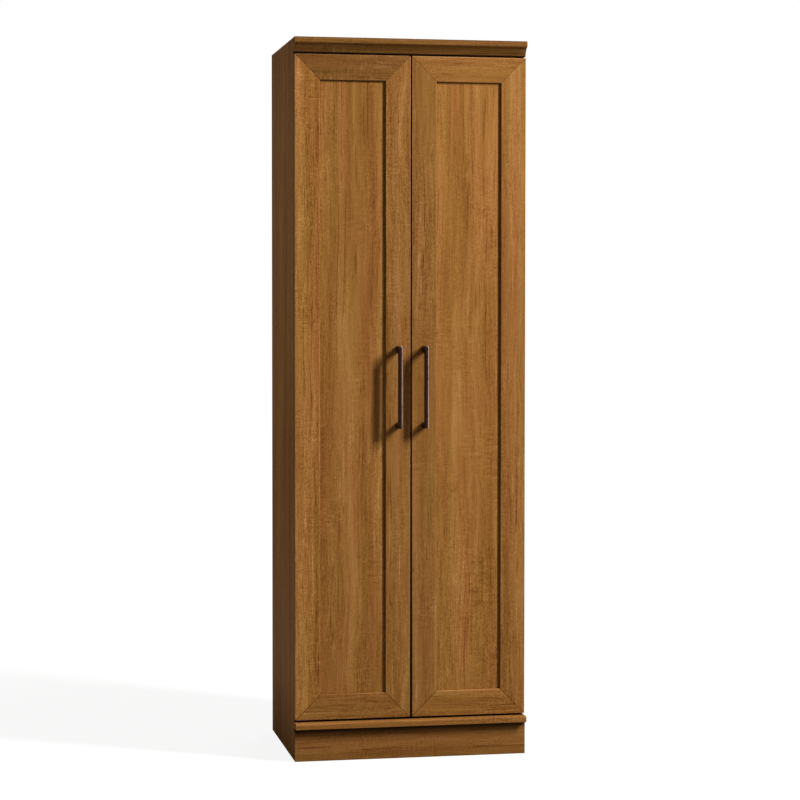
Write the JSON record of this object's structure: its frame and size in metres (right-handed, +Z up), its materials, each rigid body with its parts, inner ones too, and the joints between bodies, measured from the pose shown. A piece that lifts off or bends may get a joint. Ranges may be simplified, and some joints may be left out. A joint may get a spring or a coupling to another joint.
{
  "type": "broom cupboard",
  "caption": "Tall free-standing cupboard in wood-look laminate: framed overlay doors on concealed cup hinges, bar pulls, a tall broom bay and a bay of loose shelves.",
  "frame": {"origin": "on the floor, in the middle of the overall width and depth with the doors shut", "axes": "+X to the right seen from the front, +Y to the wall behind, +Z up"},
  "size_m": [0.592, 0.445, 1.808],
  "materials": {
    "oak_laminate": "satin wood-grain laminate",
    "hardboard": "printed hardboard",
    "dowel_wood": "plain turned beech",
    "dark_bronze": "dark bronze satin",
    "hinge_steel": "nickel-plated",
    "zinc": "die-cast zinc",
    "bumper": "clear soft polymer"
  },
  "bodies": {
    "carcass": {"left_side_board": "oak_laminate", "right_side_board": "oak_laminate", "top_board": "oak_laminate", "deck_board": "oak_laminate", "high_shelf": "oak_laminate", "partition_board": "oak_laminate", "top_rail": "oak_laminate", "rear_base_rail": "oak_laminate", "back_sheet": "hardboard", "crown_moulding": "oak_laminate", "base_moulding": "oak_laminate", "plinth_board": "oak_laminate", "loose_shelf_1": "oak_laminate", "loose_shelf_2": "oak_laminate", "loose_shelf_3": "oak_laminate", "shelf_pins": "zinc", "cam_locks": "zinc", "cam_bolts": "zinc", "dowels": "dowel_wood", "hinge_plate_screws": "hinge_steel", "hinge_arm_screws": "hinge_steel", "left_hinge_plate_1": "hinge_steel", "left_hinge_arm_1": "hinge_steel", "left_hinge_plate_2": "hinge_steel", "left_hinge_arm_2": "hinge_steel", "left_hinge_plate_3": "hinge_steel", "left_hinge_arm_3": "hinge_steel", "right_hinge_plate_1": "hinge_steel", "right_hinge_arm_1": "hinge_steel", "right_hinge_plate_2": "hinge_steel", "right_hinge_arm_2": "hinge_steel", "right_hinge_plate_3": "hinge_steel", "right_hinge_arm_3": "hinge_steel"},
    "left_door": {"left_door_hinge_stile": "oak_laminate", "left_door_meeting_stile": "oak_laminate", "left_door_top_rail": "oak_laminate", "left_door_bottom_rail": "oak_laminate", "left_door_panel": "oak_laminate", "left_pull": "dark_bronze", "left_pull_screws": "hinge_steel", "left_hinge_cup_1": "hinge_steel", "left_hinge_cup_2": "hinge_steel", "left_hinge_cup_3": "hinge_steel", "left_cup_screws": "hinge_steel", "left_hinge_pins": "hinge_steel", "left_bumpers": "bumper"},
    "right_door": {"right_door_hinge_stile": "oak_laminate", "right_door_meeting_stile": "oak_laminate", "right_door_top_rail": "oak_laminate", "right_door_bottom_rail": "oak_laminate", "right_door_panel": "oak_laminate", "right_pull": "dark_bronze", "right_pull_screws": "hinge_steel", "right_hinge_cup_1": "hinge_steel", "right_hinge_cup_2": "hinge_steel", "right_hinge_cup_3": "hinge_steel", "right_cup_screws": "hinge_steel", "right_hinge_pins": "hinge_steel", "right_bumpers": "bumper"}
  },
  "joints": [
    {"name": "left_door_hinge", "type": "hinge", "parent": "carcass", "child": "left_door", "pos_m": [-0.28865, -0.1805, 0.936], "axis": [0, 0, -1], "range_deg": [0, 105]},
    {"name": "right_door_hinge", "type": "hinge", "parent": "carcass", "child": "right_door", "pos_m": [0.28865, -0.1805, 0.936], "axis": [0, 0, 1], "range_deg": [0, 105]}
  ]
}
